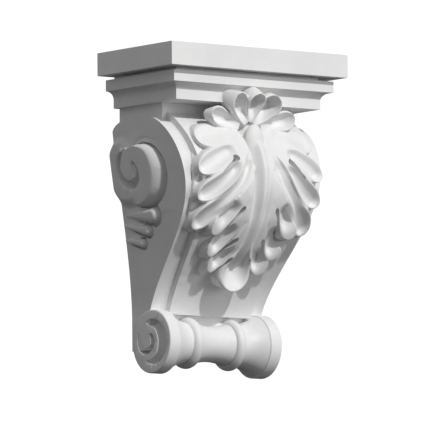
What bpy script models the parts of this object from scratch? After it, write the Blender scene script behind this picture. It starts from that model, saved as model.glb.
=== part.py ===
"""A wall corbel: moulded head, S-scroll body, side volutes, acanthus leaf and turned foot roll.

X runs across, the front faces -Y, the wall is the plane Y = 0 and +Z is up.
The origin lies in the back face, on the centre line, level with the underside of the head.
"""

import math

import bmesh
import bpy
from mathutils import Vector

# Head, in metres
SLAB_WIDTH = 0.200
SLAB_DEPTH = 0.1134
SLAB_HEIGHT = 0.0210
QUIRK_HEIGHT = 0.0022
QUIRK_INSET = 0.0125
FASCIA_INSET = 0.0093
FASCIA_HEIGHT = 0.0112
COVE_HEIGHT = 0.0072
LOWER_BAND_INSET = 0.0180
LOWER_BAND_HEIGHT = 0.0080
EDGE_ROUND = 0.0008
SLAB_TOP = LOWER_BAND_HEIGHT + COVE_HEIGHT + FASCIA_HEIGHT + QUIRK_HEIGHT + SLAB_HEIGHT

# Neck and scroll body
SOFFIT_SIDE = 0.0066  # width of the head's underside beside the neck
NECK_DEPTH = 0.0650
SCROLL_PROUD = 0.0082  # of the neck, on both sides
SCROLL_DEPTH = 0.1003
SCROLL_TOP = -0.0100
SCROLL_BELLY = -0.0695
SHOULDER_DEPTH = 0.0370  # the rounded upper corner of the scroll's side, at the wall
SHOULDER_HEIGHT = 0.0124
TAPER_TOP = -0.0216
TAPER_BOW = 0.80
WAIST_LEVEL = -0.1884
WAIST_WIDTH = 0.1260
WAIST_DEPTH = 0.0266
FILLET_WIDTH = 0.0135
FILLET_FOOT_WIDTH = 0.0170
PANEL_STEP = 0.0085
PANEL_LOW_STEP = 0.0072
PANEL_TOP = -0.0042
# Shares that steer the two curves of the scroll's front
BROW_START = 0.40
FILLET_BROW = 0.785
PANEL_BROW = 0.72
BROW_DROP = 0.56
SWEEP_DROP = 0.35
SWEEP_OUT = 0.217
SWEEP_RISE = 0.356
NECK_WIDTH = SLAB_WIDTH - 2 * (LOWER_BAND_INSET + SOFFIT_SIDE)
BODY_WIDTH = NECK_WIDTH + 2 * SCROLL_PROUD

# Foot roll
ROLL_RADIUS = 0.0290
ROLL_GAP = 0.0010  # clear of the wall
ROLL_DROP = 0.0254  # from the waist to the roll's centre
DISC_PROUD = 0.0006
DISC_THICKNESS = 0.0125
BEAD_RADIUS = 0.0234
BEAD_WIDTH = 0.0100
BEAD_PLACE = 0.380  # share of the half width
ROLL_NECK_RADIUS = 0.0162
COVE_FOOT_RADIUS = 0.0192
ROLL_WIDTH = WAIST_WIDTH + 2 * DISC_PROUD
ROLL_OUT = ROLL_GAP + ROLL_RADIUS
ROLL_LEVEL = WAIST_LEVEL - ROLL_DROP

# Acanthus leaf
LEAF_SPREAD = 0.823  # share of the body's width
LEAF_LENGTH = 0.1486
LEAF_TOP = -0.0200
LEAF_RELIEF = 0.0125
LEAF_ROOT = 0.0300  # how far the carving runs into the body behind it
LOBE_HOLLOW = 0.48
LOBE_EASE = 1.5
LEAF_HALF_WIDTH = LEAF_SPREAD * BODY_WIDTH / 2

# Crown of shells over the leaf
CROWN_RADIUS = 0.0249
CROWN_RISE = 0.0184
CROWN_LEVEL = -0.0168
CROWN_OUT = 0.0018  # of the lower band, at the shells' root
CROWN_ROOT = 0.0220
CROWN_HOLLOW = 1.20
CROWN_DEPTH = SLAB_DEPTH - LOWER_BAND_INSET + CROWN_OUT

# Side volutes
VOLUTE_HEIGHT = 0.0640
VOLUTE_OUT = 0.0287
VOLUTE_LEVEL = SCROLL_BELLY + 0.0103
VOLUTE_RELIEF = 0.0055
VOLUTE_ROOT = 0.0150
GROOVE_RADIUS = 0.0030

BACK_ALLOWANCE = 0.0040  # waste behind the wall plane, trimmed off at the end
FRONT = Vector((0, -1, 0))

# Leaf lobes on one side. Each point is (across, down, rise): shares of the half width,
# of the leaf's length and of its relief over the panel. Widths are shares of the half width.
LEAF_LOBES = (
    (
        ((0.10, 0.06, 0.50), (0.42, 0.07, 0.92), (0.72, 0.075, 1.10), (0.94, 0.085, 1.00)),
        (0.14, 0.19, 0.17, 0.15),
    ),
    (
        ((0.34, 0.15, 0.75), (0.61, 0.20, 0.90), (0.80, 0.25, 0.55), (0.96, 0.29, 0.10)),
        (0.10, 0.16, 0.17, 0.15),
    ),
    (
        ((0.32, 0.20, 0.75), (0.55, 0.315, 0.85), (0.75, 0.39, 0.55), (0.97, 0.46, 0.10)),
        (0.07, 0.12, 0.14, 0.13),
    ),
    (
        ((0.24, 0.23, 0.75), (0.38, 0.37, 0.92), (0.58, 0.485, 0.85), (0.89, 0.62, 0.65)),
        (0.07, 0.11, 0.14, 0.16),
    ),
    (
        ((0.20, 0.39, 0.75), (0.33, 0.50, 0.90), (0.46, 0.585, 0.80), (0.62, 0.67, 1.05)),
        (0.06, 0.09, 0.10, 0.105),
    ),
    (
        ((0.15, 0.53, 0.80), (0.24, 0.645, 0.90), (0.35, 0.715, 0.80), (0.53, 0.785, 0.95)),
        (0.06, 0.08, 0.10, 0.105),
    ),
    (
        ((0.08, 0.66, 0.80), (0.15, 0.75, 0.90), (0.25, 0.81, 0.85), (0.41, 0.86, 1.05)),
        (0.06, 0.075, 0.10, 0.105),
    ),
)
TIP_LOBE = (
    ((0, 0.66, 0.90), (0, 0.78, 1.15), (0, 0.88, 1.40), (0, 1.00, 2.00)),
    (0.08, 0.13, 0.22, 0.25),
)
# Stations down the blade: (down, rise of the crest), then (across, rise) of valley, swell and edge
BLADE = (
    ((0.03, 0.60), (0.15, 0.35), (0.40, 0.70), (0.58, 0.10)),
    ((0.15, 0.78), (0.14, 0.45), (0.40, 1.00), (0.62, 0.45)),
    ((0.28, 0.82), (0.13, 0.48), (0.34, 1.02), (0.54, 0.50)),
    ((0.41, 0.98), (0.12, 0.55), (0.27, 1.02), (0.42, 0.50)),
    ((0.54, 1.25), (0.10, 0.78), (0.21, 1.06), (0.32, 0.50)),
    ((0.67, 1.50), (0.085, 0.95), (0.17, 1.14), (0.25, 0.50)),
    ((0.79, 1.50), (0.07, 1.15), (0.14, 1.15), (0.20, 0.60)),
    ((0.91, 1.35), (0.06, 1.10), (0.11, 1.10), (0.16, 0.70)),
)
# Crown shells from the centre outwards: fan angle in degrees, reach and forward rise as shares
CROWN_SHELLS = ((0, 1.00, 1.00), (45, 1.30, 0.84), (79, 1.66, 0.72))
# Volute band from the wall inwards, at each eighth of a turn: radii and half widths as shares
BAND_START = 135
BAND_RADII = (0.53, 0.485, 0.455, 0.44, 0.465, 0.47, 0.37, 0.23, 0.15, 0.08, 0.03)
BAND_WIDTHS = (0.04, 0.10, 0.11, 0.11, 0.118, 0.115, 0.11, 0.11, 0.11, 0.115, 0.11)
OUTER_GROOVE = (0.515, 0.61, 0.64, 0.51, 0.42)
INNER_GROOVE = (0.33, 0.295, 0.256, 0.22, 0.19, 0.144, 0.115, 0.125)
# Husks below the volute: level below the eye, reach and size as shares of the volute's height
HUSKS = ((0.65, 0.80, 0.115), (0.85, 0.60, 0.085), (1.01, 0.45, 0.070))


def bezier(corners, t):
    """Point of a cubic Bezier curve; corners are (depth, level) pairs."""
    s = 1 - t
    weights = (s**3, 3 * s * s * t, 3 * s * t * t, t**3)
    return tuple(sum(w * c[axis] for w, c in zip(weights, corners)) for axis in (0, 1))


def profile_line(step, low_step, top, brow):
    """(depth, level) pairs down the front of the scroll, raised by step at the belly."""
    belly = SCROLL_DEPTH + step
    waist = WAIST_DEPTH + low_step
    rise = top - SCROLL_BELLY
    drop = SCROLL_BELLY - WAIST_LEVEL
    upper = (
        (BROW_START * belly, top),
        (brow * belly, top),
        (belly, top - BROW_DROP * rise),
        (belly, SCROLL_BELLY),
    )
    lower = (
        (belly, SCROLL_BELLY),
        (belly, SCROLL_BELLY - SWEEP_DROP * drop),
        (waist + SWEEP_OUT * (belly - waist), WAIST_LEVEL + SWEEP_RISE * drop),
        (waist, WAIST_LEVEL),
    )
    return [bezier(upper, i / 7) for i in range(7)] + [bezier(lower, i / 9) for i in range(10)]


def depth_at(line, level):
    """Depth of a profile line at a level."""
    for (d0, z0), (d1, z1) in zip(line, line[1:]):
        if z1 <= level <= z0:
            return d0 + (d1 - d0) * (z0 - level) / (z0 - z1)
    return line[0][0] if level > line[0][1] else line[-1][0]


def half_width(level):
    """Half width of the tapered body at a level."""
    share = min(max(0.0, (TAPER_TOP - level) / (TAPER_TOP - WAIST_LEVEL)), 1.0)
    bowed = share + TAPER_BOW * share**2 * (1 - share)
    return (BODY_WIDTH - (BODY_WIDTH - WAIST_WIDTH) * bowed) / 2


def shoulder_back(level):
    """Place of the scroll's back at a level: rounded away from the wall near its top."""
    share = (level - SCROLL_TOP + SHOULDER_HEIGHT) / SHOULDER_HEIGHT
    if share <= 0:
        return BACK_ALLOWANCE
    return -SHOULDER_DEPTH * (1 - math.sqrt(1 - min(share, 1.0) ** 2))


def spread(values, t):
    """Value at t in 0..1 along evenly spaced values."""
    place = t * (len(values) - 1)
    i = min(int(place), len(values) - 2)
    return values[i] + (values[i + 1] - values[i]) * (place - i)


def smooth_path(points, count, ease=1.0):
    """A smooth curve through the points, as count stations; ease > 1 crowds them at its end."""
    knots = [2 * points[0] - points[1], *points, 2 * points[-1] - points[-2]]
    path = []
    for k in range(count):
        place = (1 - (1 - k / (count - 1)) ** ease) * (len(points) - 1)
        i = min(int(place), len(points) - 2)
        t = place - i
        a, b, c, d = knots[i : i + 4]
        bend = (2 * a - 5 * b + 4 * c - d) * t**2 + (3 * b - a - 3 * c + d) * t**3
        path.append(0.5 * (2 * b + (c - a) * t + bend))
    return path


def loft(name, rings):
    """A closed body through rings of equal length."""
    bm = bmesh.new()
    loops = [[bm.verts.new(p) for p in ring] for ring in rings]
    count = len(loops[0])
    for first, second in zip(loops, loops[1:]):
        for i in range(count):
            bm.faces.new((first[i], first[(i + 1) % count], second[(i + 1) % count], second[i]))
    bm.faces.new(loops[0])
    bm.faces.new(loops[-1])
    return finish_mesh(name, bm)


def finish_mesh(name, bm):
    bmesh.ops.remove_doubles(bm, verts=bm.verts, dist=1e-6)
    bmesh.ops.recalc_face_normals(bm, faces=bm.faces)
    mesh = bpy.data.meshes.new(name)
    bm.to_mesh(mesh)
    bm.free()
    mesh.shade_smooth()
    mesh.set_sharp_from_angle(angle=math.radians(35))
    return bpy.data.objects.new(name, mesh)


def frames(path, outward):
    """(point, side, normal) at each station, the normal leaning towards outward."""
    found = []
    for i, point in enumerate(path):
        along = (path[min(i + 1, len(path) - 1)] - path[max(i - 1, 0)]).normalized()
        normal = (outward - along * outward.dot(along)).normalized()
        found.append((point, along.cross(normal), normal))
    return found


def carved_lobe(name, path, widths, outward, hollow, root, tip=0.25, lean=1.0):
    """A spoon-shaped lobe: rounded rims along a hollow, a round tip, and its root in the body.

    The root runs square to the path with lean 1, and straight back with lean 0.
    """
    lengths = [0.0]
    for a, b in zip(path, path[1:]):
        lengths.append(lengths[-1] + (b - a).length)
    rings = []
    for length, (point, side, normal) in zip(lengths, frames(path, outward)):
        t = length / lengths[-1]
        end = max(0.0, (t - 1 + tip) / tip)
        width = spread(widths, t) * math.sqrt(max(0.05, 1 - end**2))
        dip = hollow * spread(widths, t) * min(1.0, 4 * t) * (1 - end**2)
        top = ((-1, -0.35), (-0.84, 0), (-0.45, -0.75 * dip / width), (0, -dip / width))
        outline = [*top, *((-s, h) for s, h in reversed(top[:3]))]
        ring = [point + side * s * width + normal * h * width for s, h in outline]
        back = outward.lerp(normal, lean) * root
        ring += [point + side * width - back, point - side * width - back]
        rings.append(ring)
    return loft(name, rings)


def head():
    """Slab, quirk, fascia, cove and lower band, mitred round three sides."""
    r = EDGE_ROUND
    fascia_top = SLAB_TOP - SLAB_HEIGHT - QUIRK_HEIGHT
    cove_top = LOWER_BAND_HEIGHT + COVE_HEIGHT
    line = [(r, SLAB_TOP), (0, SLAB_TOP - r), (0, SLAB_TOP - SLAB_HEIGHT + r), (r, SLAB_TOP - SLAB_HEIGHT)]
    line += [(QUIRK_INSET, SLAB_TOP - SLAB_HEIGHT), (QUIRK_INSET, fascia_top)]
    line += [(FASCIA_INSET, fascia_top), (FASCIA_INSET, cove_top)]
    cove_start = FASCIA_INSET + r
    for i in range(6):
        turn = math.pi / 2 * i / 5
        inset = cove_start + (LOWER_BAND_INSET - cove_start) * math.sin(turn)
        line.append((inset, cove_top - COVE_HEIGHT * (1 - math.cos(turn))))
    line += [(LOWER_BAND_INSET, r), (LOWER_BAND_INSET + r, 0)]
    half = SLAB_WIDTH / 2
    return loft("head", [three_sides(half - inset, SLAB_DEPTH - inset, level) for inset, level in line])


def three_sides(x, depth, level, back=BACK_ALLOWANCE):
    """Ring round a block of half width x, from back (behind the wall plane) to its front."""
    return [(-x, back, level), (-x, -depth, level), (x, -depth, level), (x, back, level)]


def scroll(line):
    """The S-scroll's full width, whose lower end runs on behind the roll."""
    tail = (WAIST_DEPTH, ROLL_LEVEL - 0.25 * ROLL_RADIUS)
    rings = [three_sides(half_width(z), depth, z, shoulder_back(z)) for depth, z in [*line, tail]]
    return loft("corbel", rings)


def panel(line):
    """The raised panel between the scroll's side fillets."""
    rings = []
    for depth, level in line:
        share = max(0.0, (SCROLL_BELLY - level) / (SCROLL_BELLY - WAIST_LEVEL))
        fillet = FILLET_WIDTH + (FILLET_FOOT_WIDTH - FILLET_WIDTH) * share
        rings.append(three_sides(half_width(level) - fillet, depth, level))
    return loft("panel", rings)


def neck():
    """The plain block between the head and the scroll."""
    levels = (LOWER_BAND_HEIGHT / 2, 0.5 * SCROLL_BELLY)
    return loft("neck", [three_sides(NECK_WIDTH / 2, NECK_DEPTH, level) for level in levels])


def roll():
    """The turned roll at the foot: a disc at each end, a cove, a bead and a hollow neck."""
    half = ROLL_WIDTH / 2
    disc = half - DISC_THICKNESS
    bead = BEAD_PLACE * half
    bead_half = BEAD_WIDTH / 2
    r = EDGE_ROUND
    line = [(half, 0), (half, ROLL_RADIUS - r), (half - r, ROLL_RADIUS), (disc + r, ROLL_RADIUS)]
    cove_span = disc - bead - bead_half
    for i in range(6):
        rise = (ROLL_RADIUS - r - COVE_FOOT_RADIUS) * (1 - math.sin(math.pi / 2 * i / 5))
        line.append((disc - cove_span * i / 5, COVE_FOOT_RADIUS + rise))
    for i in range(6):
        turn = math.pi * (0.12 + 0.76 * i / 5)
        rise = (BEAD_RADIUS - COVE_FOOT_RADIUS) * math.sin(turn)
        line.append((bead + bead_half * math.cos(turn), COVE_FOOT_RADIUS + rise))
    neck_half = bead - bead_half
    for i in range(5):
        share = 1 - i / 4
        rise = (COVE_FOOT_RADIUS - ROLL_NECK_RADIUS) * share**2
        line.append((neck_half * share, ROLL_NECK_RADIUS + rise))
    line += [(-x, radius) for x, radius in reversed(line[:-1])]
    bm = bmesh.new()
    chain = [bm.verts.new((x, 0, radius)) for x, radius in line]
    edges = [bm.edges.new(pair) for pair in zip(chain, chain[1:])]
    bmesh.ops.spin(bm, geom=chain + edges, axis=(1, 0, 0), cent=(0, 0, 0), angle=math.tau, steps=28)
    bmesh.ops.translate(bm, verts=bm.verts, vec=(0, -ROLL_OUT, ROLL_LEVEL))
    return finish_mesh("roll", bm)


def on_leaf(line, point, side):
    across, down, rise = point
    level = LEAF_TOP - down * LEAF_LENGTH
    return Vector((side * across * LEAF_HALF_WIDTH, -depth_at(line, level) - rise * LEAF_RELIEF, level))


def blade(line):
    """The leaf's middle: a raised midrib between two swelling halves."""
    rings = []
    for (down, crest), *half in BLADE:
        outline = [(-across, rise) for across, rise in reversed(half)] + [(0, crest), *half]
        ring = [on_leaf(line, (across, down, rise), 1) for across, rise in outline]
        rings.append([*ring, ring[-1] - FRONT * LEAF_ROOT, ring[0] - FRONT * LEAF_ROOT])
    smooth = zip(*(smooth_path(strand, 15) for strand in zip(*rings)))
    return loft("blade", list(smooth))


def leaf(line):
    """The acanthus leaf draped down the panel: blade, curled tip and seven lobes a side."""
    points, widths = TIP_LOBE
    path = smooth_path([on_leaf(line, p, 1) for p in points], 10, LOBE_EASE)
    sizes = [w * LEAF_HALF_WIDTH for w in widths]
    parts = [blade(line), carved_lobe("leaf_tip", path, sizes, FRONT, LOBE_HOLLOW, LEAF_ROOT, 0.35)]
    for side in (-1, 1):
        for number, (points, widths) in enumerate(LEAF_LOBES, 1):
            path = smooth_path([on_leaf(line, p, side) for p in points], 9, LOBE_EASE)
            sizes = [w * LEAF_HALF_WIDTH for w in widths]
            lobe = carved_lobe(f"lobe_{number}_{side}", path, sizes, FRONT, LOBE_HOLLOW, LEAF_ROOT, lean=0)
            parts.append(lobe)
    return parts


def crown():
    """Five cupped shells that fan up from the leaf's root over the lower mouldings."""
    parts = []
    root = Vector((0, -CROWN_DEPTH, CROWN_LEVEL))
    for side in (-1, 1):
        for number, (degrees, reach, rise) in enumerate(CROWN_SHELLS):
            if side < 0 and number == 0:
                continue
            fan = math.radians(degrees)
            out = reach * CROWN_RADIUS * Vector((side * math.sin(fan), 0, math.cos(fan)))
            stages = ((0.0, 0.0), (0.40, 0.35), (0.75, 0.75), (1.0, 1.0))
            points = [root + out * share + FRONT * rise * CROWN_RISE * lift for share, lift in stages]
            path = smooth_path(points, 8, LOBE_EASE)
            sizes = [share * CROWN_RADIUS for share in (0.12, 0.28, 0.38, 0.38)]
            shell = carved_lobe(f"shell_{number}_{side}", path, sizes, FRONT, CROWN_HOLLOW, CROWN_ROOT)
            parts.append(shell)
    return parts


def on_side(side, angle, radius, proud):
    """Point beside the body at an angle and radius about the volute's eye."""
    depth = VOLUTE_OUT + radius * VOLUTE_HEIGHT * math.cos(angle)
    level = VOLUTE_LEVEL + radius * VOLUTE_HEIGHT * math.sin(angle)
    return Vector((side * (half_width(level) + proud), -depth, level))


def spiral(side, start, radii, proud, count):
    """Stations along a spiral whose radii are given at each eighth of a turn from start."""
    points = [on_side(side, math.radians(start + 45 * i), radius, proud) for i, radius in enumerate(radii)]
    return smooth_path(points, count)


def tube(name, path, radius, outward):
    """A six-sided groove cutter along a path, thin at both ends."""
    turns = [math.tau * k / 6 for k in range(6)]
    rings = []
    for i, (point, side, normal) in enumerate(frames(path, outward)):
        size = radius * (0.35 if i in (0, len(path) - 1) else 1.0)
        rings.append([point + size * (side * math.cos(a) + normal * math.sin(a)) for a in turns])
    return loft(name, rings)


def volute(side):
    """(raised pieces, grooves) of the volute and its husks on one side face."""
    outward = Vector((side, 0, 0))
    band_path = spiral(side, BAND_START, BAND_RADII, VOLUTE_RELIEF, 30)
    band_sizes = [w * VOLUTE_HEIGHT for w in BAND_WIDTHS]
    band = carved_lobe(f"band_{side}", band_path, band_sizes, outward, -0.10, VOLUTE_ROOT, 0.08)
    husks = []
    for number, (drop, reach, share) in enumerate(HUSKS):
        size = share * VOLUTE_HEIGHT
        level = VOLUTE_LEVEL - drop * VOLUTE_HEIGHT
        points = []
        for out, fall, proud in ((-0.04, -0.5, 0.6), (0.5, 0.2, 0.7), (1.0, 0.4, 0.35)):
            x = half_width(level) + proud * VOLUTE_RELIEF
            points.append(Vector((side * x, -out * reach * VOLUTE_HEIGHT, level - fall * size)))
        path = smooth_path(points, 6)
        husk = carved_lobe(f"husk_{number}_{side}", path, [size] * 2, outward, 0.12, VOLUTE_ROOT, 0.35)
        husks.append(husk)
    outer_path = spiral(side, -90, OUTER_GROOVE, 0.0, 12)
    inner_path = spiral(side, BAND_START, INNER_GROOVE, 0.5 * VOLUTE_RELIEF, 18)
    grooves = [
        tube(f"outer_groove_{side}", outer_path, GROOVE_RADIUS, outward),
        tube(f"inner_groove_{side}", inner_path, GROOVE_RADIUS, outward),
    ]
    return [band, *husks], grooves


def trim_box():
    """The space behind the wall plane."""
    x = SLAB_WIDTH
    ring = [(-x, 0), (x, 0), (x, SLAB_DEPTH), (-x, SLAB_DEPTH)]
    return loft("wall", [[(px, py, z) for px, py in ring] for z in (2 * SLAB_TOP, 2 * ROLL_LEVEL)])


def group(name, objects):
    """A hidden collection of helper shapes for a Boolean."""
    collection = bpy.data.collections.new(name)
    bpy.context.scene.collection.children.link(collection)
    for obj in objects:
        collection.objects.link(obj)
        obj.hide_render = True
        obj.display_type = "WIRE"
    return collection


def combine(target, name, operation, objects):
    modifier = target.modifiers.new(name, "BOOLEAN")
    modifier.operation = operation
    modifier.solver = "EXACT"
    modifier.operand_type = "COLLECTION"
    modifier.collection = group(name, objects)


def plaster():
    material = bpy.data.materials.new("white_plaster")
    material.use_nodes = True
    shader = material.node_tree.nodes["Principled BSDF"]
    shader.inputs["Base Color"].default_value = (0.86, 0.86, 0.86, 1)
    shader.inputs["Roughness"].default_value = 0.65
    shader.inputs["Metallic"].default_value = 0.0
    return material


def build():
    for obj in list(bpy.data.objects):
        bpy.data.objects.remove(obj, do_unlink=True)
    panel_line = profile_line(PANEL_STEP, PANEL_LOW_STEP, PANEL_TOP, PANEL_BROW)
    corbel = scroll(profile_line(0.0, 0.0, SCROLL_TOP, FILLET_BROW))
    bpy.context.scene.collection.objects.link(corbel)
    corbel.data.materials.append(plaster())
    core = [head(), neck(), panel(panel_line)]
    carving = [roll(), *leaf(panel_line), *crown()]
    grooves = []
    for side in (-1, 1):
        raised, cut = volute(side)
        carving += raised
        grooves += cut
    combine(corbel, "core", "UNION", core)
    combine(corbel, "carving", "UNION", carving)
    combine(corbel, "grooves", "DIFFERENCE", grooves)
    combine(corbel, "wall_plane", "DIFFERENCE", [trim_box()])


build()
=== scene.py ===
import math

import bmesh
import bpy
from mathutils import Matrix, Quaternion, Vector


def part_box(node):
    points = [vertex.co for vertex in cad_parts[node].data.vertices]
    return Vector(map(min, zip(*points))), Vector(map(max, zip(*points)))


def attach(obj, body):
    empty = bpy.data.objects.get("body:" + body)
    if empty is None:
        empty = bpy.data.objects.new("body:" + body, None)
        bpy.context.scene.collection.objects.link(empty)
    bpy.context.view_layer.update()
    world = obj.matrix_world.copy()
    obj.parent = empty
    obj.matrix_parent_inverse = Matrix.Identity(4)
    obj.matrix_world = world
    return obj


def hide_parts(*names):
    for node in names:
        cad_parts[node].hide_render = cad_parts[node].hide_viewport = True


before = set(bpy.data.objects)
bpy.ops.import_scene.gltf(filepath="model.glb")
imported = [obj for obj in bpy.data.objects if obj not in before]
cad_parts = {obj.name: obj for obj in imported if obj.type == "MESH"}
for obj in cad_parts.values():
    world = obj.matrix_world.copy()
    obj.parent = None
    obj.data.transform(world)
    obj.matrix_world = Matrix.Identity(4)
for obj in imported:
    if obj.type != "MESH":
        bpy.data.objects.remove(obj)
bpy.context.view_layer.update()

low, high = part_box("corbel")
slabWidth = high[0] - low[0]
slabTop = high[2]
front = Vector((0, -1, 0))
helpers = []  # shapes that are used up by the Booleans


# Curves and small sums that every piece uses

def bezier(corners, t):
    s = 1 - t
    weights = (s**3, 3 * s * s * t, 3 * s * t * t, t**3)
    return tuple(sum(w * c[axis] for w, c in zip(weights, corners)) for axis in (0, 1))


def spread(values, t):  # value at t in 0..1 along evenly spaced values
    place = min(max(t, 0.0), 1.0) * (len(values) - 1)
    i = min(int(place), len(values) - 2)
    return values[i] + (values[i + 1] - values[i]) * (place - i)


def catmull(a, b, c, d, t):
    bend = (2 * a - 5 * b + 4 * c - d) * t**2 + (3 * b - a - 3 * c + d) * t**3
    return 0.5 * (2 * b + (c - a) * t + bend)


def smoothSpread(values, t):  # as spread, but along a smooth curve
    knots = [2 * values[0] - values[1], *values, 2 * values[-1] - values[-2]]
    place = min(max(t, 0.0), 1.0) * (len(values) - 1)
    i = min(int(place), len(values) - 2)
    return catmull(*knots[i : i + 4], place - i)


def smoothPath(points, count, ease=1.0):  # ease over 1 crowds the stations at the far end
    return [smoothSpread(points, 1 - (1 - k / (count - 1)) ** ease) for k in range(count)]


def swing(t):  # 0 to 1 with level ends
    return 0.5 - 0.5 * math.cos(math.pi * min(max(t, 0.0), 1.0))


# Meshes

def meshObject(name, bm):
    bmesh.ops.remove_doubles(bm, verts=bm.verts, dist=1e-6)
    bmesh.ops.recalc_face_normals(bm, faces=bm.faces)
    mesh = bpy.data.meshes.new(name)
    bm.to_mesh(mesh)
    bm.free()
    mesh.shade_smooth()
    obj = bpy.data.objects.new(name, mesh)
    bpy.context.scene.collection.objects.link(obj)
    helpers.append(obj)
    return obj


def loftRings(name, rings):
    bm = bmesh.new()
    loops = [[bm.verts.new(p) for p in ring] for ring in rings]
    count = len(loops[0])
    for first, second in zip(loops, loops[1:]):
        for i in range(count):
            bm.faces.new((first[i], first[(i + 1) % count], second[(i + 1) % count], second[i]))
    bm.faces.new(loops[0])
    bm.faces.new(loops[-1])
    return meshObject(name, bm)


def settle(obj):  # swaps the mesh for what its modifiers make of it
    graph = bpy.context.evaluated_depsgraph_get()
    made = bpy.data.meshes.new_from_object(obj.evaluated_get(graph))
    obj.modifiers.clear()
    obj.data = made
    return obj


def boolean(target, others, operation, solver="MANIFOLD"):
    for other in others:
        modifier = target.modifiers.new(other.name, "BOOLEAN")
        modifier.operation = operation
        modifier.solver = solver
        modifier.object = other
    return settle(target)


def softenEdges(obj, width, degrees=35, segments=2):
    modifier = obj.modifiers.new("softEdges", "BEVEL")
    modifier.limit_method = "ANGLE"
    modifier.angle_limit = math.radians(degrees)
    modifier.width = width
    modifier.segments = segments
    return settle(obj)


def lighten(obj, limit):  # fewer triangles where the form is plain
    obj.data.calc_loop_triangles()
    modifier = obj.modifiers.new("lighten", "DECIMATE")
    modifier.ratio = min(1.0, limit / len(obj.data.loop_triangles))
    return settle(obj)


def castTogether(name, parts, voxel, rounds):  # overlapping shells become one soft-creased casting
    bm = bmesh.new()
    for part in parts:
        bm.from_mesh(part.data)
    mesh = bpy.data.meshes.new(name)
    bm.to_mesh(mesh)
    bm.free()
    obj = bpy.data.objects.new(name, mesh)
    bpy.context.scene.collection.objects.link(obj)
    helpers.append(obj)
    remesh = obj.modifiers.new("cast", "REMESH")
    remesh.mode = "VOXEL"
    remesh.voxel_size = voxel
    remesh.use_smooth_shade = True
    relax = obj.modifiers.new("relax", "SMOOTH")
    relax.factor = 0.5
    relax.iterations = rounds
    return settle(obj)


def stations(path, outward):  # (point, side, normal) along a path, the normal leaning outward
    found = []
    for i, point in enumerate(path):
        along = (path[min(i + 1, len(path) - 1)] - path[max(i - 1, 0)]).normalized()
        normal = (outward - along * outward.dot(along)).normalized()
        found.append((point, along.cross(normal), normal))
    return found


def lobeLoft(name, path, widths, outward, look):
    lengths = [0.0]
    for a, b in zip(path, path[1:]):
        lengths.append(lengths[-1] + (b - a).length)
    count = lobeMake["half"]
    across = [math.sin(math.pi / 2 * k / count) for k in range(-count, count + 1)]
    rings = []
    for length, (point, side, normal) in zip(lengths, stations(path, outward)):
        t = length / lengths[-1]
        end = max(0.0, (t - 1 + look["tip"]) / look["tip"])
        full = smoothSpread(widths, t)
        width = full * math.sqrt(max(0.02, 1 - end**2))
        dip = spread(look["dips"], t) * full
        inner = 1 - look["rim"]
        ring = []
        for s in across:
            bowl = 1 - min(1.0, abs(s) / inner) ** look["bowl"]
            e = max(0.0, (abs(s) - inner) / look["rim"])
            fall = look["round"] * full * (1 - math.sqrt(max(0.0, 1 - e * e)))
            ring.append(point + side * s * width - normal * (dip * bowl + fall))
        for s, share in ((0.97, 0.4), (look["heel"], 1.0), (-look["heel"], 1.0), (-0.97, 0.4)):
            ring.append(point + side * s * width - normal * share * look["root"])
        rings.append(ring)
    return loftRings(name, rings)


def dome(name, middle, radii):
    bm = bmesh.new()
    bmesh.ops.create_uvsphere(bm, u_segments=4 * lobeMake["half"], v_segments=2 * lobeMake["half"], radius=1)
    bmesh.ops.scale(bm, verts=bm.verts, vec=radii)
    bmesh.ops.translate(bm, verts=bm.verts, vec=middle)
    return meshObject(name, bm)


lobeMake = {"half": 12, "stations": 40, "ease": 1.5}


# Head: slab, quirk, fascia, cove and lower band

headSizes = {
    "slabDepth": 0.1134,
    "slabHeight": 0.0210,
    "quirkHeight": 0.0032,
    "quirkInset": 0.0190,
    "fasciaInset": 0.0093,
        "coveHeight": 0.0072,
    "bandInset": 0.0180,
    "bandHeight": 0.0080,
    "edge": 0.0007,
    "backAllowance": 0.0040,
}


def threeSides(x, depth, level):  # ring round a block, from behind the wall plane to its front
    back = headSizes["backAllowance"]
    return [(-x, back, level), (-x, -depth, level), (x, -depth, level), (x, back, level)]


def makeHead():
    v = headSizes
    r = v["edge"]
    slabLow = slabTop - v["slabHeight"]
    fasciaTop = slabLow - v["quirkHeight"]
    coveTop = v["bandHeight"] + v["coveHeight"]
    line = [(0, slabTop), (0, slabLow), (v["quirkInset"], slabLow), (v["quirkInset"], fasciaTop)]
    line += [(v["fasciaInset"], fasciaTop), (v["fasciaInset"], coveTop)]
    coveStart = v["fasciaInset"] + r
    for i in range(17):
        turn = math.pi / 2 * i / 16
        inset = coveStart + (v["bandInset"] - coveStart) * math.sin(turn)
        line.append((inset, coveTop - v["coveHeight"] * (1 - math.cos(turn))))
    line.append((v["bandInset"], 0))
    half = slabWidth / 2
    head = loftRings("head", [threeSides(half - inset, v["slabDepth"] - inset, z) for inset, z in line])
    return softenEdges(head, r, 40, 3)


# Scroll body: neck, side fillets, raised panel and the relief on both sides

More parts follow.
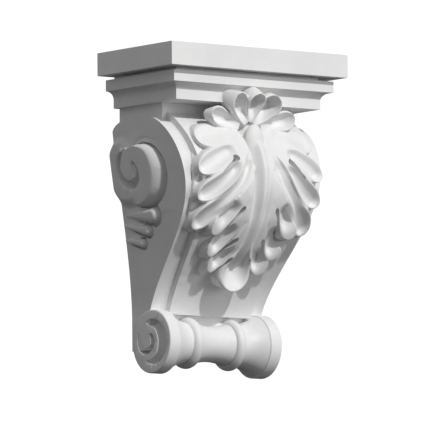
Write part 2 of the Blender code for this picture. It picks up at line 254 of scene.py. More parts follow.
bodySizes = {
    "soffitSide": 0.0066,
    "neckDepth": 0.0650,
    "scrollProud": 0.0082,
    "scrollDepth": 0.1003,
    "scrollTop": -0.0100,
    "belly": -0.0695,
    "shoulderDepth": 0.0370,
    "shoulderHeight": 0.0124,
    "taperTop": -0.0216,
    "taperBow": 0.80,
    "waistLevel": -0.1884,
    "waistWidth": 0.1260,
    "waistDepth": 0.0266,
    "filletWidth": 0.0135,
    "filletFoot": 0.0170,
    "panelStep": 0.0085,
    "panelLowStep": 0.0072,
    "panelTop": -0.0042,
    "filletPull": 0.785,
    "panelPull": 0.72,
    "browSteps": 90,
    "sweepSteps": 180,
    "sideSteps": 140,
    "edge": 0.0006,
}
neckWidth = slabWidth - 2 * (headSizes["bandInset"] + bodySizes["soffitSide"])
bodyWidth = neckWidth + 2 * bodySizes["scrollProud"]


def profileLine(step, lowStep, top, pull):  # (depth, level) down the front of the scroll
    v = bodySizes
    belly = v["scrollDepth"] + step
    waist = v["waistDepth"] + lowStep
    rise = top - v["belly"]
    drop = v["belly"] - v["waistLevel"]
    brow = ((0.40 * belly, top), (pull * belly, top), (belly, top - 0.56 * rise), (belly, v["belly"]))
    sweep = (
        (belly, v["belly"]),
        (belly, v["belly"] - 0.35 * drop),
        (waist + 0.217 * (belly - waist), v["waistLevel"] + 0.356 * drop),
        (waist, v["waistLevel"]),
    )
    upper = [bezier(brow, i / v["browSteps"]) for i in range(v["browSteps"])]
    return upper + [bezier(sweep, i / v["sweepSteps"]) for i in range(v["sweepSteps"] + 1)]


def depthAt(line, level):
    for (d0, z0), (d1, z1) in zip(line, line[1:]):
        if z1 <= level <= z0:
            return d0 + (d1 - d0) * (z0 - level) / (z0 - z1)
    return line[0][0] if level > line[0][1] else line[-1][0]


def halfWidth(level):
    v = bodySizes
    share = min(max(0.0, (v["taperTop"] - level) / (v["taperTop"] - v["waistLevel"])), 1.0)
    bowed = share + v["taperBow"] * share**2 * (1 - share)
    return (bodyWidth - (bodyWidth - v["waistWidth"]) * bowed) / 2


def shoulderBack(level):  # the scroll's side starts in front of the wall near its rounded top
    v = bodySizes
    share = (level - v["scrollTop"] + v["shoulderHeight"]) / v["shoulderHeight"]
    if share <= 0:
        return headSizes["backAllowance"]
    return -v["shoulderDepth"] * (1 - math.sqrt(1 - min(share, 1.0) ** 2))


filletLine = profileLine(0.0, 0.0, bodySizes["scrollTop"], bodySizes["filletPull"])
panelLine = profileLine(
    bodySizes["panelStep"], bodySizes["panelLowStep"], bodySizes["panelTop"], bodySizes["panelPull"]
)


# Relief on the scroll's sides: the volute's spiral band, its grooves and three husks

voluteSizes = {
    "unit": 0.200,  # the radii and places below are shares of this
    "eye": (0.143, -0.0592),
    "relief": 0.0066,
    "grooveDeep": 0.0050,
    "outerDeep": 0.0080,
    "hollowDeep": 0.0030,
    "rimFade": 0.05,
}
# (degrees about the eye, radius) pairs
bandEdge = (
    (-110, 0.150), (-90, 0.158), (-60, 0.180), (-30, 0.199), (0, 0.199), (30, 0.175), (60, 0.134),
    (90, 0.104), (110, 0.096),
)
bandSlope = (
    (-110, 0.150), (-70, 0.158), (-40, 0.158), (0, 0.148), (35, 0.138), (60, 0.118), (90, 0.102), (110, 0.096),
)
outerGroove = (
    (-105, 0.151), (-90, 0.164), (-72, 0.184), (-54, 0.207), (-28, 0.229), (-10, 0.234), (10, 0.220),
    (26, 0.196), (45, 0.165), (75, 0.121), (110, 0.096),
)
grooveInner = (
    (112, 0.097), (141, 0.081), (168, 0.074), (192, 0.064), (216, 0.055), (250, 0.046), (282, 0.037),
    (319, 0.030), (351, 0.028), (385, 0.029), (405, 0.034), (436, 0.046),
)
grooveOuter = (
    (112, 0.099), (128, 0.111), (150, 0.114), (185, 0.108), (231, 0.098), (258, 0.091), (284, 0.086),
    (307, 0.079), (329, 0.071), (351, 0.060), (385, 0.046), (436, 0.047),
)
topHollow = ((30, 0.215), (53, 0.178), (65, 0.160), (82, 0.135), (95, 0.115), (104, 0.104))
topHollowHalf = ((30, 0.0005), (53, 0.007), (65, 0.011), (82, 0.014), (95, 0.012), (104, 0.002))
rimReach = ((96, 0.130), (110, 0.175), (130, 0.205), (180, 0.215), (230, 0.200), (262, 0.165))
husks = (  # start and end of each, as (out, level) shares, its half width and its height
    ((0.000, -0.735), (0.236, -0.754), 0.036, 0.72),
    ((-0.020, -0.775), (0.178, -0.819), 0.024, 0.66),
    ((-0.020, -0.845), (0.130, -0.871), 0.021, 0.60),
)


def along(table, place):  # value at a place along (place, value) pairs, eased
    if place <= table[0][0]:
        return table[0][1]
    for (a, first), (b, second) in zip(table, table[1:]):
        if place <= b:
            return first + (second - first) * (place - a) / (b - a)
    return table[-1][1]


def ramp(a, b, x):  # 0 to 1 as x goes from a to b
    return swing((x - a) / (b - a))


def voluteRelief(out, level):
    v = voluteSizes
    u, w = out / v["unit"] - v["eye"][0], (level - v["eye"][1]) / v["unit"]
    radius = math.hypot(u, w)
    if radius > 0.25:
        return 0.0
    turn = math.degrees(math.atan2(w, u))
    height = 0.0
    if -110 <= turn <= 110:
        edge, slope, outer = along(bandEdge, turn), along(bandSlope, turn), along(outerGroove, turn)
        if radius < edge:
            share = max(0.0, (radius - slope) / max(edge - slope, 0.001))
            height = v["relief"] * (1 - 0.9 * share**1.6)
        elif radius < outer:
            deep = min(1.0, (outer - edge) / 0.012) * v["outerDeep"]
            share = (radius - edge) / (outer - edge)
            height = -deep * min(ramp(0.0, 0.25, share), 1 - ramp(0.72, 1.0, share))
            height += 0.1 * v["relief"] * (1 - ramp(0.0, 0.2, share))
        if 30 < turn < 104:
            middle, half = along(topHollow, turn), along(topHollowHalf, turn)
            away = abs(radius - middle) / half
            height -= v["hollowDeep"] * min(1.0, half / 0.012) * (1 - ramp(0.3, 1.1, away))
    rim = turn if turn > 0 else turn + 360
    if 96 < rim < 285:
        reach = along(rimReach, rim)
        plate = v["relief"] * (1 - ramp(reach - v["rimFade"], reach, radius))
        plate *= ramp(96, 125, rim) if radius > 0.11 else 1.0
        blend = ramp(240, 285, rim)
        height = plate * (1 - blend) + height * blend if rim > 240 else max(plate, height)
    for lap in (turn, turn + 360):
        if 112 <= lap <= 436:
            inner, outer = along(grooveInner, lap), along(grooveOuter, lap)
            if inner < radius < outer:
                share = (radius - inner) / (outer - inner)
                deep = (v["relief"] + v["grooveDeep"]) * ramp(112, 150, lap) * (1 - ramp(405, 436, lap))
                height = v["relief"] - deep * ramp(0.0, 0.22, share) * (1 - ramp(0.45, 1.0, share))
    if radius < 0.034:
        height -= 0.4 * v["relief"] * ramp(0.0, 0.028, u)
    return height


def huskRelief(out, level):
    v = voluteSizes
    u, w = out / v["unit"], level / v["unit"] - 0.248
    height = 0.0
    for (u0, w0), (u1, w1), half, share in husks:
        length = math.hypot(u1 - u0, w1 - w0)
        du, dw = (u1 - u0) / length, (w1 - w0) / length
        t = ((u - u0) * du + (w - w0) * dw) / length
        if t < 0.05:
            continue
        side = (w - w0) * du - (u - u0) * dw
        beyond = max(0.0, t - 1) * length
        reach = half * min(1.0, t) ** 0.8
        away = math.hypot(side, beyond) / reach
        if away < 1:
            bulge = v["relief"] * share * ramp(0.05, 0.5, t)
            height = bulge * (1 - away**4)
        elif away < 1.45 and (side < 0 or t > 0.85):
            height = -v["outerDeep"] * 0.8 * ramp(0.3, 0.7, t) * math.sin(math.pi * (away - 1) / 0.45)
    return height


def sideRelief(out, level):
    height = voluteRelief(out, level)
    return height if abs(height) > 1e-6 else huskRelief(out, level)


def makeScroll():
    v = bodySizes
    tail = (v["waistDepth"], rollLevel - 0.25 * rollSizes["radius"])
    steps = v["sideSteps"]
    rings = []
    for depth, level in [*filletLine, tail]:
        back = -shoulderBack(level)
        half = halfWidth(level)
        outs = [back + (depth - back) * k / steps for k in range(steps + 1)]
        sides = [(out, half + sideRelief(out, level)) for out in outs]
        ring = [(-x, -out, level) for out, x in sides]
        rings.append(ring + [(x, -out, level) for out, x in reversed(sides)])
    return loftRings("scroll", rings)


def makePanel():
    v = bodySizes
    rings = []
    for depth, level in panelLine:
        share = max(0.0, (v["belly"] - level) / (v["belly"] - v["waistLevel"]))
        fillet = v["filletWidth"] + (v["filletFoot"] - v["filletWidth"]) * share
        rings.append(threeSides(halfWidth(level) - fillet, depth, level))
    return softenEdges(loftRings("panel", rings), v["edge"], 60, 2)


def makeNeck():
    levels = (headSizes["bandHeight"] / 2, 0.5 * bodySizes["belly"])
    neck = loftRings("neck", [threeSides(neckWidth / 2, bodySizes["neckDepth"], z) for z in levels])
    return softenEdges(neck, bodySizes["edge"], 60, 2)


# Foot roll: turned along X, with a disc at each end

rollSizes = {
    "radius": 0.02899,
    "gap": 0.0010,
    "drop": 0.0254,
    "discProud": 0.0006,
    "discThickness": 0.0125,
    "beadRadius": 0.0234,
    "beadWidth": 0.0100,
    "beadPlace": 0.380,
    "neckRadius": 0.0162,
    "coveFoot": 0.0192,
    "edge": 0.0012,
    "sides": 144,
    "faceRings": 40,
    "carved": 0.0072,
    "grooveSteps": 25,
    "grooveFull": 0.10,
}
discGrooves = (  # (out, up, half width) along each groove of a disc's spiral, as shares of its radius
    (
        (-0.25, 0.62, 0.02), (-0.10, 0.60, 0.10), (0.15, 0.57, 0.13), (0.38, 0.42, 0.18), (0.52, 0.20, 0.22),
        (0.58, -0.05, 0.24), (0.52, -0.30, 0.22), (0.36, -0.50, 0.17), (0.12, -0.62, 0.11), (-0.12, -0.64, 0.06),
        (-0.28, -0.60, 0.02),
    ),
    (
        (-0.66, 0.26, 0.03), (-0.64, 0.02, 0.09), (-0.52, -0.20, 0.11), (-0.33, -0.30, 0.10), (-0.12, -0.26, 0.09),
        (0.03, -0.12, 0.09), (0.05, 0.05, 0.09), (-0.03, 0.18, 0.07), (-0.12, 0.22, 0.02),
    ),
)
grooveLines = [smoothPath([Vector(p) for p in groove], rollSizes["grooveSteps"]) for groove in discGrooves]
rollWidth = bodySizes["waistWidth"] + 2 * rollSizes["discProud"]
rollOut = rollSizes["gap"] + rollSizes["radius"]
rollLevel = bodySizes["waistLevel"] - rollSizes["drop"]


def discCarving(out, up):  # how deep a disc's face is carved at a place
    deep = 0.0
    for line in grooveLines:
        for a, b in zip(line, line[1:]):
            du, dw = b.x - a.x, b.y - a.y
            t = min(max(0.0, ((out - a.x) * du + (up - a.y) * dw) / (du * du + dw * dw)), 1.0)
            half = a.z + (b.z - a.z) * t
            away = math.hypot(out - a.x - du * t, up - a.y - dw * t) / half
            if away < 1:
                deep = max(deep, min(1.0, half / rollSizes["grooveFull"]) * (1 - away**2))
    return deep * rollSizes["carved"]


def makeRoll():
    v = rollSizes
    half = rollWidth / 2
    disc = half - v["discThickness"]
    bead = v["beadPlace"] * half
    beadHalf = v["beadWidth"] / 2
    r = v["edge"]
    line = [(half, (v["radius"] - r) * i / v["faceRings"]) for i in range(v["faceRings"] + 1)]
    for i in range(1, 5):
        turn = math.pi / 2 * i / 5
        line.append((half - r * (1 - math.cos(turn)), v["radius"] - r * (1 - math.sin(turn))))
    line.append((half - r, v["radius"]))
    for i in range(5):
        turn = math.pi / 2 * i / 5
        line.append((disc + r * (1 - math.sin(turn)), v["radius"] - r * (1 - math.cos(turn))))
    coveSpan = disc - bead - beadHalf
    for i in range(17):
        rise = (v["radius"] - r - v["coveFoot"]) * (1 - math.sin(math.pi / 2 * i / 16))
        line.append((disc - coveSpan * i / 16, v["coveFoot"] + rise))
    for i in range(1, 16):
        turn = math.pi * i / 16
        rise = (v["beadRadius"] - v["coveFoot"]) * math.sin(turn)
        line.append((bead + beadHalf * math.cos(turn), v["coveFoot"] + rise))
    neckHalf = bead - beadHalf
    for i in range(13):
        share = 1 - i / 12
        line.append((neckHalf * share, v["neckRadius"] + (v["coveFoot"] - v["neckRadius"]) * share**2))
    line += [(-x, radius) for x, radius in reversed(line[:-1])]
    bm = bmesh.new()
    chain = [bm.verts.new((x, 0, radius)) for x, radius in line]
    edges = [bm.edges.new(pair) for pair in zip(chain, chain[1:])]
    bmesh.ops.spin(bm, geom=chain + edges, axis=(1, 0, 0), cent=(0, 0, 0), angle=math.tau, steps=v["sides"])
    bmesh.ops.remove_doubles(bm, verts=bm.verts, dist=1e-6)
    for vert in bm.verts:
        if abs(vert.co.x) > half - rollSizes["edge"] / 100:
            deep = discCarving(-vert.co.y / v["radius"], vert.co.z / v["radius"])
            vert.co.x -= math.copysign(deep, vert.co.x)
    bmesh.ops.translate(bm, verts=bm.verts, vec=(0, -rollOut, rollLevel))
    return meshObject("roll", bm)


# Acanthus leaf draped down the panel: one carved sheet whose strands run from the midrib to each lobe's end

leafSizes = {
    "spread": 0.823,
    "length": 0.1486,
    "top": -0.0200,
    "relief": 0.0122,
    "root": 0.030,
    "voxel": 0.0007,
    "relax": 2,
    "ribSteps": 12,
    "lobeSteps": 44,
    "half": 9,
    "sunk": -0.35,
    "skirt": 0.06,
    "endTurn": (0.55, 0.80),
}
leafHalf = leafSizes["spread"] * bodyWidth / 2
# (share across the lobe, rise) from its upper edge at -1 to its lower edge at 1
dishProfile = ((-1, -0.20), (-0.85, 0), (-0.5, -0.14), (0, -0.30), (0.5, -0.16), (0.85, 0), (1, -0.20))
spoonProfile = (
    (-1, -0.16), (-0.88, 0), (-0.74, -0.06), (-0.3, -0.44), (0.1, -0.52), (0.45, -0.36), (0.76, -0.04), (0.9, 0),
    (1, -0.16),
)
ridgeProfile = (
    (-1, -0.16), (-0.6, -0.26), (-0.1, -0.38), (0.12, -0.40), (0.28, -0.16), (0.42, -0.02), (0.7, -0.12),
    (1, -0.28),
)
scoopProfile = (
    (-1, -0.50), (-0.8, -0.60), (-0.3, -0.66), (0.1, -0.56), (0.5, -0.20), (0.75, 0), (0.88, 0), (1, -0.2),
)
tailProfile = ((-1, 0), (1, 0))
leafLobes = (  # where it leaves the rib; (across, down, rise) along it; half widths; profile; shares of its length
    {
        "from": (-0.02, 0.09), "profile": dishProfile,
        "tip": 0.34, "grow": (0.10, 0.60), "part": (0.50, 0.85), "fade": (0.8, 1.0),
        "path": ((0.36, 0.078, 1.00), (0.54, 0.068, 1.02), (0.74, 0.082, 0.84), (0.95, 0.108, 0.46)),
        "widths": (0.08, 0.150, 0.170, 0.160),
    },
    {
        "from": (0.09, 0.12), "profile": spoonProfile,
        "tip": 0.36, "grow": (0.0, 0.22), "part": (0.25, 0.60), "fade": (0.85, 1.0),
        "path": ((0.39, 0.162, 1.00), (0.58, 0.192, 0.97), (0.80, 0.250, 0.72), (1.01, 0.312, 0.36)),
        "widths": (0.08, 0.140, 0.165, 0.150),
    },
    {
        "from": (0.12, 0.16), "profile": spoonProfile,
        "tip": 0.30, "grow": (0.0, 0.20), "part": (0.04, 0.40), "partLow": (0.40, 0.80), "fade": (0.85, 1.0),
        "path": ((0.370, 0.238, 1.00), (0.53, 0.318, 0.95), (0.75, 0.402, 0.66), (1.00, 0.470, 0.34)),
        "widths": (0.05, 0.120, 0.150, 0.140),
    },
    {
        "from": (0.16, 0.32), "profile": ridgeProfile, "end": spoonProfile,
        "tip": 0.18, "upper": 0.62, "grow": (-0.05, 0.10), "part": (0.45, 0.80), "fade": (0.88, 1.0),
        "path": (
            (0.21, 0.232, 0.86), (0.33, 0.348, 0.90), (0.55, 0.462, 0.82), (0.76, 0.562, 0.62), (0.94, 0.640, 0.36),
        ),
        "widths": (0.10, 0.145, 0.150, 0.150),
    },
    {
        "from": (0.32, 0.47), "profile": scoopProfile,
        "tip": 0.30, "grow": (0.22, 0.42), "part": (0.28, 0.50), "fade": (0.52, 0.90),
        "path": ((0.25, 0.430, 0.92), (0.38, 0.515, 0.92), (0.52, 0.600, 0.90), (0.67, 0.675, 1.20)),
        "widths": (0.08, 0.102, 0.116, 0.124),
    },
    {
        "from": (0.47, 0.60), "profile": scoopProfile,
        "tip": 0.30, "grow": (0.12, 0.35), "part": (0.05, 0.35), "fade": (0.60, 0.94),
        "path": ((0.24, 0.590, 1.00), (0.33, 0.662, 0.92), (0.43, 0.728, 0.85), (0.58, 0.788, 1.12)),
        "widths": (0.075, 0.092, 0.116, 0.126),
    },
    {
        "from": (0.60, 0.73), "profile": scoopProfile,
        "tip": 0.32, "grow": (0.05, 0.30), "part": (0.0, 0.35), "fade": (0.50, 0.90),
        "path": ((0.19, 0.728, 1.15), (0.24, 0.780, 1.00), (0.33, 0.826, 0.90), (0.48, 0.866, 1.20)),
        "widths": (0.070, 0.092, 0.116, 0.126),
    },
    {
        "from": (0.73, 0.90), "profile": tailProfile,
        "tip": 0.20, "grow": (0.0, 0.2), "part": (0.0, 0.3), "fade": (0.9, 1.0),
        "path": ((0.14, 0.850, 0.60), (0.15, 0.860, 0.30), (0.16, 0.870, 0.00), (0.17, 0.880, -0.3)),
        "widths": (0.12, 0.10, 0.08, 0.08),
    },
)
ribForm = {  # the midrib and the blade's edge beside it, at even steps down: rises, and shares of the half width
    "reach": (-0.02, 0.90),
    "crest": (0.85, 1.10, 1.05, 1.00, 1.15, 1.42, 1.20, 0.10),
    -1: {
        "valley": (0.10, 0.06, 0.08, 0.20, 0.55, 0.95, 0.90, 0.00),
        "swell": (0.62, 0.90, 0.86, 0.84, 0.92, 1.20, 1.00, 0.00),
        "valleyAt": (0.17, 0.15, 0.145, 0.135, 0.10, 0.09, 0.075, 0.06),
        "swellAt": (0.23, 0.200, 0.185, 0.175, 0.158, 0.15, 0.13, 0.11),
    },
    1: {
        "valley": (0.10, 0.82, 0.86, 0.74, 0.72, 0.98, 0.90, 0.00),
        "swell": (0.62, 0.92, 0.90, 0.86, 0.92, 1.20, 1.00, 0.00),
        "valleyAt": (0.15, 0.11, 0.09, 0.09, 0.09, 0.09, 0.075, 0.06),
        "swellAt": (0.22, 0.20, 0.17, 0.15, 0.155, 0.15, 0.13, 0.11),
    },
}
tipLobe = {
    "path": ((0, 0.66, 0.95), (0, 0.78, 1.20), (0, 0.88, 1.35), (0, 1.00, 2.00)),
    "widths": (0.08, 0.13, 0.24, 0.25),
    "look": {
        "dips": (0, 0.10, 0.50, 0.75, 0.75, 0.55, 0.30, 0),
        "tip": 0.23, "rim": 0.24, "round": 0.24, "root": 0.030, "bowl": 2, "heel": 0.7,
    },
}
ribHead = {"place": (0, 0.100, 1.08), "radii": (0.0098, 0.0068, 0.0160)}
leafEyes = (  # slots cut from the front between the lobes: (across, down, rise) along each, then its radius
    (((0.415, 0.208, 0.10), (0.45, 0.222, 0.05), (0.53, 0.258, 0.25), (0.68, 0.318, 0.20)), 0.0031),
    (((0.255, 0.510, 0.10), (0.29, 0.535, 0.05), (0.36, 0.585, 0.05), (0.46, 0.660, 0.00)), 0.0022),
    (((0.200, 0.692, 0.10), (0.23, 0.712, 0.05), (0.28, 0.745, 0.05), (0.36, 0.800, 0.00)), 0.0021),
    (((0.140, 0.802, 0.10), (0.17, 0.822, 0.05), (0.21, 0.845, 0.05), (0.28, 0.880, 0.00)), 0.0019),
)
eyeForm = {"steps": 14, "radii": (0.45, 1.0, 1.0, 0.75, 0.55, 0.42, 0.32), "reach": 0.030, "turns": 6}


def onLeaf(point, side=1):
    across, down, rise = point
    level = leafSizes["top"] - down * leafSizes["length"]
    depth = depthAt(panelLine, level) + rise * leafSizes["relief"]
    return Vector((side * across * leafHalf, -depth, level))


def ribPoints(down, side):  # (across, down, rise) from the midrib's crest over the valley to the blade's edge
    v = ribForm
    t = (down - v["reach"][0]) / (v["reach"][1] - v["reach"][0])
    crest = smoothSpread(v["crest"], t)
    valley, swell, valleyAt, swellAt = (smoothSpread(values, t) for values in v[side].values())
    count = leafSizes["ribSteps"]
    points = []
    for k in range(count):
        share = 2 * k / count
        if share < 1:
            points.append((share * valleyAt, down, crest + (valley - crest) * swing(share)))
        else:
            share -= 1
            across = valleyAt + (swellAt - valleyAt) * share
            points.append((across, down, valley + (swell - valley) * swing(share)))
    return points, (swellAt, down, swell)


def lobeStrand(lobe, s, skirt, side):  # one strand of a lobe, as (across, down, rise) points
    v = leafSizes
    down = lobe["from"][0] + (lobe["from"][1] - lobe["from"][0]) * (s + 1) / 2
    points, swell = ribPoints(down, side)
    part = lobe.get("partLow", lobe["part"]) if s > 0 else lobe["part"]
    line = smoothPath([Vector(p) for p in lobe["path"]], v["lobeSteps"], 1.5)
    flat = [Vector((p.x * leafHalf, p.y * v["length"])) for p in line]
    lengths = [0.0]
    for a, b in zip(flat, flat[1:]):
        lengths.append(lengths[-1] + (b - a).length)
    cross = []
    for k, point in enumerate(line):
        t = lengths[k] / lengths[-1]
        run = (flat[min(k + 1, len(flat) - 1)] - flat[max(k - 1, 0)]).normalized()
        end = max(0.0, (t - 1 + lobe["tip"]) / lobe["tip"])
        width = smoothSpread(lobe["widths"], t) * leafHalf * math.sqrt(max(0.01, 1 - end**2))
        height = along(lobe["profile"], s)
        if "end" in lobe:
            height += (along(lobe["end"], s) - height) * ramp(*v["endTurn"], t)
        rise = point.z + height * ramp(*lobe["grow"], t) * (1 - ramp(*lobe["fade"], t))
        upper = lobe.get("upper", 1.0)
        place = s * (upper + (1 - upper) * ramp(*v["endTurn"], t)) if s < 0 else s
        if skirt:
            loose = ramp(*part, t)
            rise += (v["sunk"] - rise) * loose
            place += s * skirt * loose
        across = point.x - place * width * run.y / leafHalf
        cross.append(Vector((across, point.y + place * width * run.x / v["length"], rise)))
    bridge = smoothPath([Vector(points[-1]), Vector(swell), cross[0], cross[3]], 19)[6:12]
    last = cross[-1].copy()
    last.z = v["sunk"]
    return [*points, *bridge, *cross, last]


def makeSheet():
    v = leafSizes
    shares = [math.sin(math.pi / 2 * k / v["half"]) for k in range(-v["half"], v["half"] + 1)]
    rows = []
    for lobe in leafLobes:
        for s, skirt in [(-1, v["skirt"]), *((s, 0) for s in shares), (1, v["skirt"])]:
            left, right = ([onLeaf(p, side) for p in lobeStrand(lobe, s, skirt, side)] for side in (-1, 1))
            rows.append([*reversed(left[1:]), *right])
    return slabMesh("leafSheet", rows, v["root"])


def slabMesh(name, rows, root):  # a closed slab: the rows in front, and the panel's line behind
    bm = bmesh.new()
    fronts = [[bm.verts.new(p) for p in row] for row in rows]
    backs = [[bm.verts.new((p.x, root - depthAt(panelLine, p.z), p.z)) for p in row] for row in rows]
    for grid in (fronts, backs):
        for first, second in zip(grid, grid[1:]):
            for i in range(len(first) - 1):
                bm.faces.new((first[i], first[i + 1], second[i + 1], second[i]))
    edge = [(r, 0) for r in range(len(rows))] + [(len(rows) - 1, c) for c in range(1, len(rows[0]))]
    edge += [(r, len(rows[0]) - 1) for r in range(len(rows) - 2, -1, -1)]
    edge += [(0, c) for c in range(len(rows[0]) - 2, 0, -1)]
    for (a, b), (c, d) in zip(edge, edge[1:] + edge[:1]):
        bm.faces.new((fronts[a][b], fronts[c][d], backs[c][d], backs[a][b]))
    return meshObject(name, bm)


def makeLeaf():
    v = tipLobe
    path = smoothPath([onLeaf(p) for p in v["path"]], lobeMake["stations"], lobeMake["ease"])
    tip = lobeLoft("leafTip", path, [w * leafHalf for w in v["widths"]], front, v["look"])
    middle = onLeaf(ribHead["place"]) - front * ribHead["radii"][1]
    return [makeSheet(), tip, dome("ribHead", middle, ribHead["radii"])]


def makeEyes():
    v = eyeForm
    turns = [math.pi * k / v["turns"] for k in range(v["turns"] + 1)]
    cutters = []
    for side in (-1, 1):
        for points, radius in leafEyes:
            path = smoothPath([onLeaf(p, side) for p in points], v["steps"])
            rings = []
            for i, point in enumerate(path):
                size = radius * spread(v["radii"], i / (v["steps"] - 1))
                run = path[min(i + 1, v["steps"] - 1)] - path[max(i - 1, 0)]
                run.y = 0
                across = run.normalized().cross(front)
                ring = [point + size * (across * math.cos(a) - front * math.sin(a)) for a in turns]
                rings.append([*ring, ring[-1] + front * v["reach"], ring[0] + front * v["reach"]])
            cutters.append(loftRings("eye", rings))
    return cutters


# Crown of five cupped shells over the lower mouldings

crownSizes = {"out": 0.0018, "ease": 1.4, "narrow": (0.30, 0.70, 0.96, 1.0)}
crownSeat = {"middle": (0, -0.0805, -0.0190), "radii": (0.0150, 0.0125, 0.0062)}
crownShells = (  # root (out, level), tip (out, forward, level), half width, share of the full hollow, thickness
    ((0.0000, -0.0168), (0.0000, 0.0172, 0.0074), 0.0104, 1.0, 0.020),
    ((0.0040, -0.0185), (0.0232, 0.0144, 0.0056), 0.0115, 1.0, 0.018),
    ((0.0120, -0.0215), (0.0470, 0.0064, -0.0105), 0.0100, 0.7, 0.012),
)
crownLift = ((0.0, 0.0), (0.40, 0.35), (0.75, 0.75), (1.0, 1.0))  # shares of the way out and of the way forward
crownDips = (0, 0.15, 0.55, 0.95, 1.25, 1.35, 1.30, 1.10, 0.65, 0)
crownLook = {"tip": 0.34, "rim": 0.24, "round": 0.24, "bowl": 2.4, "heel": 0.70}


def makeCrown():
    v = crownSizes
    bandFront = headSizes["slabDepth"] - headSizes["bandInset"] + v["out"]
    parts = []
    for side in (-1, 1):
        for number, (root, tip, half, share, thick) in enumerate(crownShells):
            if side < 0 and number == 0:
                continue
            start = Vector((side * root[0], -bandFront, root[1]))
            way = Vector((side * (tip[0] - root[0]), 0, tip[2] - root[1]))
            points = [start + way * out + front * tip[1] * forward for out, forward in crownLift]
            path = smoothPath(points, lobeMake["stations"], v["ease"])
            look = dict(crownLook, dips=[share * dip for dip in crownDips], root=thick)
            parts.append(lobeLoft(f"shell{number}", path, [half * w for w in v["narrow"]], front, look))
    parts.append(dome("crownSeat", crownSeat["middle"], crownSeat["radii"]))
    return parts


# Finish

finish = {
    "triangles": 192000,
    "backFlat": 0.00005,
    "pale": (0.83, 0.83, 0.825),
    "dim": (0.765, 0.765, 0.765),
    "patchScale": 28,
    "patchDetail": 4,
    "grainScale": 900,
    "grainDetail": 3,
    "grainHeight": 0.00006,
    "smooth": 0.44,
    "rough": 0.62,
}


def makeMottle():  # even noise in the object's own space, spread over 0 to 1
    group = bpy.data.node_groups.new("mottle", "ShaderNodeTree")
    for name in ("Scale", "Detail"):
        group.interface.new_socket(name, in_out="INPUT", socket_type="NodeSocketFloat")
    group.interface.new_socket("Amount", in_out="OUTPUT", socket_type="NodeSocketFloat")
    nodes, links = group.nodes, group.links
    entry, leave = nodes.new("NodeGroupInput"), nodes.new("NodeGroupOutput")
    place = nodes.new("ShaderNodeTexCoord")
    noise = nodes.new("ShaderNodeTexNoise")
    stretch = nodes.new("ShaderNodeMapRange")
    stretch.inputs["From Min"].default_value = 0.3
    stretch.inputs["From Max"].default_value = 0.7
    links.new(place.outputs["Object"], noise.inputs["Vector"])
    links.new(entry.outputs["Scale"], noise.inputs["Scale"])
    links.new(entry.outputs["Detail"], noise.inputs["Detail"])
    links.new(noise.outputs["Fac"], stretch.inputs["Value"])
    links.new(stretch.outputs["Result"], leave.inputs["Amount"])
    return group


def makeWhite():
    v = finish
    material = bpy.data.materials.new("whitePlaster")
    material.use_nodes = True
    nodes, links = material.node_tree.nodes, material.node_tree.links
    shader = nodes["Principled BSDF"]
    mottle = makeMottle()
    patches, grain = nodes.new("ShaderNodeGroup"), nodes.new("ShaderNodeGroup")
    for node, kind in ((patches, "patch"), (grain, "grain")):
        node.node_tree = mottle
        node.inputs["Scale"].default_value = v[kind + "Scale"]
        node.inputs["Detail"].default_value = v[kind + "Detail"]
    tone = nodes.new("ShaderNodeMix")
    tone.data_type = "RGBA"
    tone.inputs["A"].default_value = (*v["dim"], 1)
    tone.inputs["B"].default_value = (*v["pale"], 1)
    sheen = nodes.new("ShaderNodeMapRange")
    sheen.inputs["To Min"].default_value = v["smooth"]
    sheen.inputs["To Max"].default_value = v["rough"]
    bump = nodes.new("ShaderNodeBump")
    bump.inputs["Distance"].default_value = v["grainHeight"]
    links.new(patches.outputs["Amount"], tone.inputs["Factor"])
    links.new(tone.outputs["Result"], shader.inputs["Base Color"])
    links.new(patches.outputs["Amount"], sheen.inputs["Value"])
    links.new(sheen.outputs["Result"], shader.inputs["Roughness"])
    links.new(grain.outputs["Amount"], bump.inputs["Height"])
    links.new(bump.outputs["Normal"], shader.inputs["Normal"])
    return material


def makeCorbel():
    scroll = makeScroll()
    print("sides carved")
    boolean(scroll, [makeNeck(), makePanel(), makeHead(), makeRoll()], "UNION")
    print("core made")
    leaf = castTogether("leaf", makeLeaf() + makeCrown(), leafSizes["voxel"], leafSizes["relax"])
    print("leaf cast:", len(leaf.data.polygons), "faces")
    boolean(scroll, [leaf], "UNION")
    boolean(scroll, makeEyes(), "DIFFERENCE")
    x = slabWidth
    ring = [(-x, 0), (x, 0), (x, x), (-x, x)]
    wall = loftRings("wall", [[(px, py, z) for px, py in ring] for z in (2 * slabTop, 2 * rollLevel)])
    boolean(scroll, [wall], "DIFFERENCE")
    lighten(scroll, finish["triangles"])
    for vert in scroll.data.vertices:  # the back stays flat on the wall
        if vert.co.y > -finish["backFlat"]:
            vert.co.y = 0
    return scroll


corbel = makeCorbel()
corbel.name = corbel.data.name = "corbelCasting"
helpers.remove(corbel)
for helper in helpers:
    bpy.data.objects.remove(helper, do_unlink=True)
corbel.data.shade_smooth()
corbel.data.set_sharp_from_angle(angle=math.radians(38))
corbel.data.materials.clear()
corbel.data.materials.append(makeWhite())
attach(corbel, "root")
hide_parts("corbel")
corbel.data.calc_loop_triangles()
print("corbel made:", len(corbel.data.loop_triangles), "triangles")


# Studio: pale floor, white surround, key light from the front

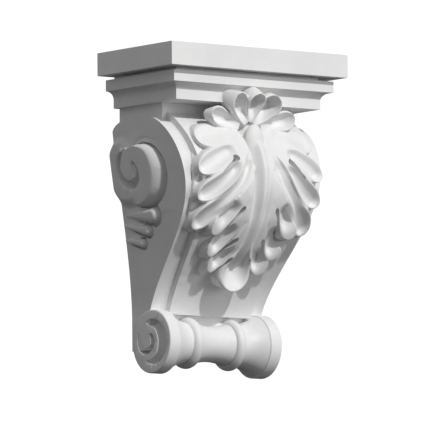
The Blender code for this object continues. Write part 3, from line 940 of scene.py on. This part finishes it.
studio = {
    "azimuth": 37.0,
    "elevation": -5.78,
    "roll": -0.5,
    "distance": 7.22,
    "lens": 676,
    "aim": (0.0, -0.0370, -0.0923),
    "floorLevel": -1.0,
    "keyFrom": (-0.05, -1.0, 0.70),
    "keyStrength": 2.05,
    "keyAngle": 2,
    "softFrom": (0.45, -1.0, 0.05),
    "softStrength": 0.60,
    "softAngle": 28,
    "fill": 0.335,
    "surround": 1.05,
}


def makeFloorPaint():  # pale to the camera, and dim to the corbel above it
    paint = bpy.data.materials.new("paleFloor")
    paint.use_nodes = True
    nodes, links = paint.node_tree.nodes, paint.node_tree.links
    nodes.clear()
    output = nodes.new("ShaderNodeOutputMaterial")
    mix = nodes.new("ShaderNodeMixShader")
    paths = nodes.new("ShaderNodeLightPath")
    pale, dim = nodes.new("ShaderNodeBsdfDiffuse"), nodes.new("ShaderNodeBsdfDiffuse")
    pale.inputs["Color"].default_value = (0.88, 0.88, 0.88, 1)
    dim.inputs["Color"].default_value = (0.10, 0.10, 0.10, 1)
    links.new(paths.outputs["Is Camera Ray"], mix.inputs[0])
    links.new(dim.outputs[0], mix.inputs[1])
    links.new(pale.outputs[0], mix.inputs[2])
    links.new(mix.outputs[0], output.inputs["Surface"])
    return paint


def makeStudio():
    v = studio
    scene = bpy.context.scene
    scene.view_settings.view_transform = "Standard"
    azimuth, elevation = math.radians(v["azimuth"]), math.radians(v["elevation"])
    level = math.cos(elevation)
    away = Vector((-math.sin(azimuth) * level, -math.cos(azimuth) * level, math.sin(elevation)))
    lens = bpy.data.cameras.new("camera")
    lens.sensor_width = 36
    lens.lens = v["lens"]
    lens.clip_end = 60
    camera = bpy.data.objects.new("camera", lens)
    camera.location = Vector(v["aim"]) + away * v["distance"]
    turn = away.to_track_quat("Z", "Y") @ Quaternion((0, 0, 1), math.radians(v["roll"]))
    camera.rotation_euler = turn.to_euler()
    scene.collection.objects.link(camera)
    scene.camera = camera

    for name in ("key", "soft"):
        sun = bpy.data.lights.new(name, "SUN")
        sun.energy = v[name + "Strength"]
        sun.angle = math.radians(v[name + "Angle"])
        lamp = bpy.data.objects.new(name, sun)
        lamp.rotation_euler = Vector(v[name + "From"]).to_track_quat("Z", "Y").to_euler()
        scene.collection.objects.link(lamp)

    bm = bmesh.new()
    bmesh.ops.create_circle(bm, cap_ends=True, segments=96, radius=6)
    mesh = bpy.data.meshes.new("floor")
    bm.to_mesh(mesh)
    bm.free()
    floor = bpy.data.objects.new("floor", mesh)
    floor.location.z = v["floorLevel"]
    scene.collection.objects.link(floor)
    mesh.materials.append(makeFloorPaint())

    world = bpy.data.worlds.new("surround")
    scene.world = world
    world.use_nodes = True
    nodes, links = world.node_tree.nodes, world.node_tree.links
    nodes.clear()
    output = nodes.new("ShaderNodeOutputWorld")
    mix = nodes.new("ShaderNodeMixShader")
    paths = nodes.new("ShaderNodeLightPath")
    fill, seen = nodes.new("ShaderNodeBackground"), nodes.new("ShaderNodeBackground")
    fill.inputs["Strength"].default_value = v["fill"]
    fill.inputs["Color"].default_value = (1, 1, 1, 1)
    seen.inputs["Strength"].default_value = v["surround"]
    seen.inputs["Color"].default_value = (1, 1, 1, 1)
    links.new(paths.outputs["Is Camera Ray"], mix.inputs[0])
    links.new(fill.outputs[0], mix.inputs[1])
    links.new(seen.outputs[0], mix.inputs[2])
    links.new(mix.outputs[0], output.inputs["Surface"])


makeStudio()
print("studio made")
